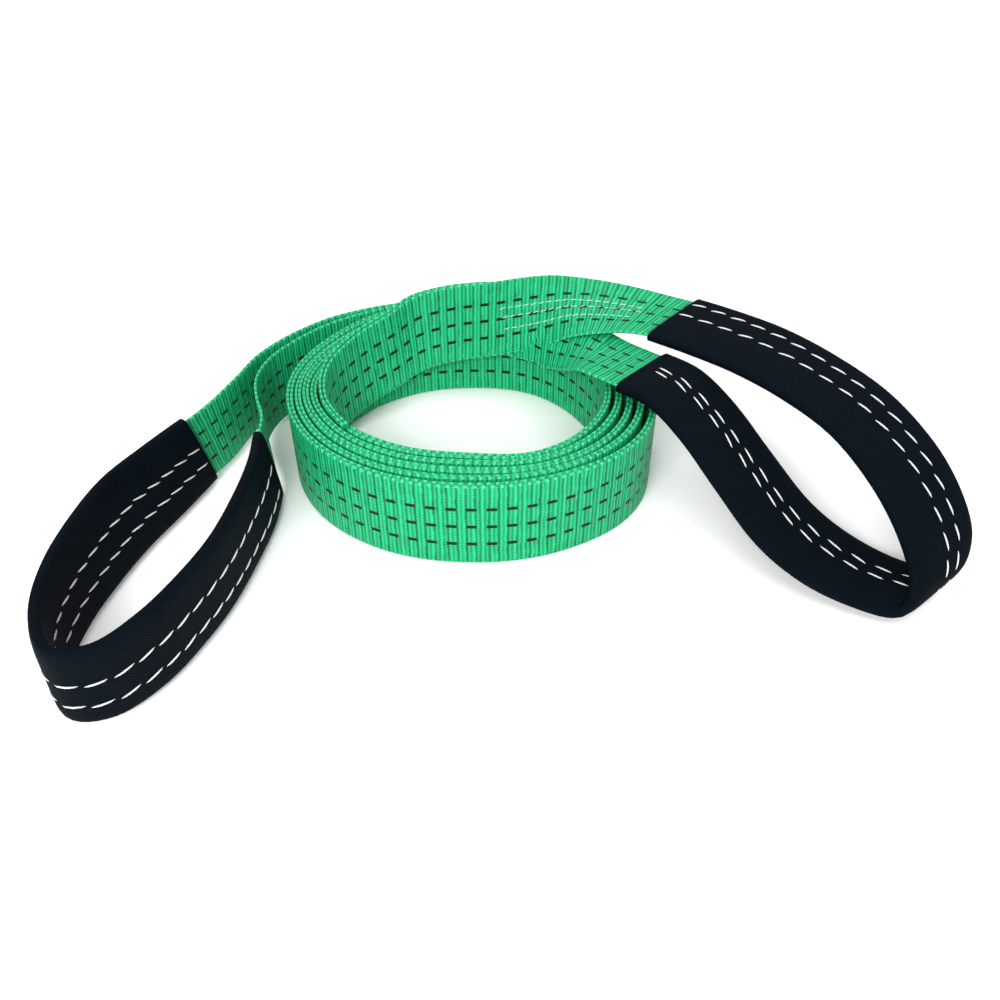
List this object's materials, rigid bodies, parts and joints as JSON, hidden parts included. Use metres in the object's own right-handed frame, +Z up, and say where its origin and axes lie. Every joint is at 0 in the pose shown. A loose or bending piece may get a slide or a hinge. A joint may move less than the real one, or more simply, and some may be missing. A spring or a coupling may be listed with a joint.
{
  "type": "flat web sling",
  "caption": "Flat two-ply web lifting sling with a black sleeved eye at each end, wound on edge into a flat coil.",
  "frame": {"origin": "middle of the coil on the floor it stands on", "axes": "+Z up across the webbing's width, +X towards the right eye, +Y to the back"},
  "size_m": [0.5162, 0.3487, 0.0955],
  "materials": {
    "webbing": "green woven polyester webbing with black marker yarns",
    "sleeve": "black woven tubular protection sleeve",
    "thread": "white bonded polyester sewing thread"
  },
  "bodies": {
    "coil": {"coil_outer_ply": "webbing", "coil_inner_ply": "webbing", "rising_upper_ply": "webbing", "rising_lower_ply": "webbing"},
    "left_end": {"left_far_leg": "webbing", "left_near_leg": "webbing", "left_eye_webbing": "webbing", "left_sleeve": "sleeve", "left_sleeve_upper_seam": "thread", "left_sleeve_lower_seam": "thread"},
    "right_end": {"right_eye_webbing": "webbing", "right_sleeve": "sleeve", "right_sleeve_upper_seam": "thread", "right_sleeve_lower_seam": "thread"}
  },
  "joints": [
    {"name": "left_eye_swing", "type": "hinge", "parent": "coil", "child": "left_end", "pos_m": [-0.0488, 0.1085, 0], "axis": [0, 0, -1], "range_deg": [0, 25]},
    {"name": "right_eye_lift", "type": "hinge", "parent": "coil", "child": "right_end", "pos_m": [0.104, 0.036, 0.071], "axis": [-0.7071, -0.7071, 0], "range_deg": [0, 17]}
  ]
}
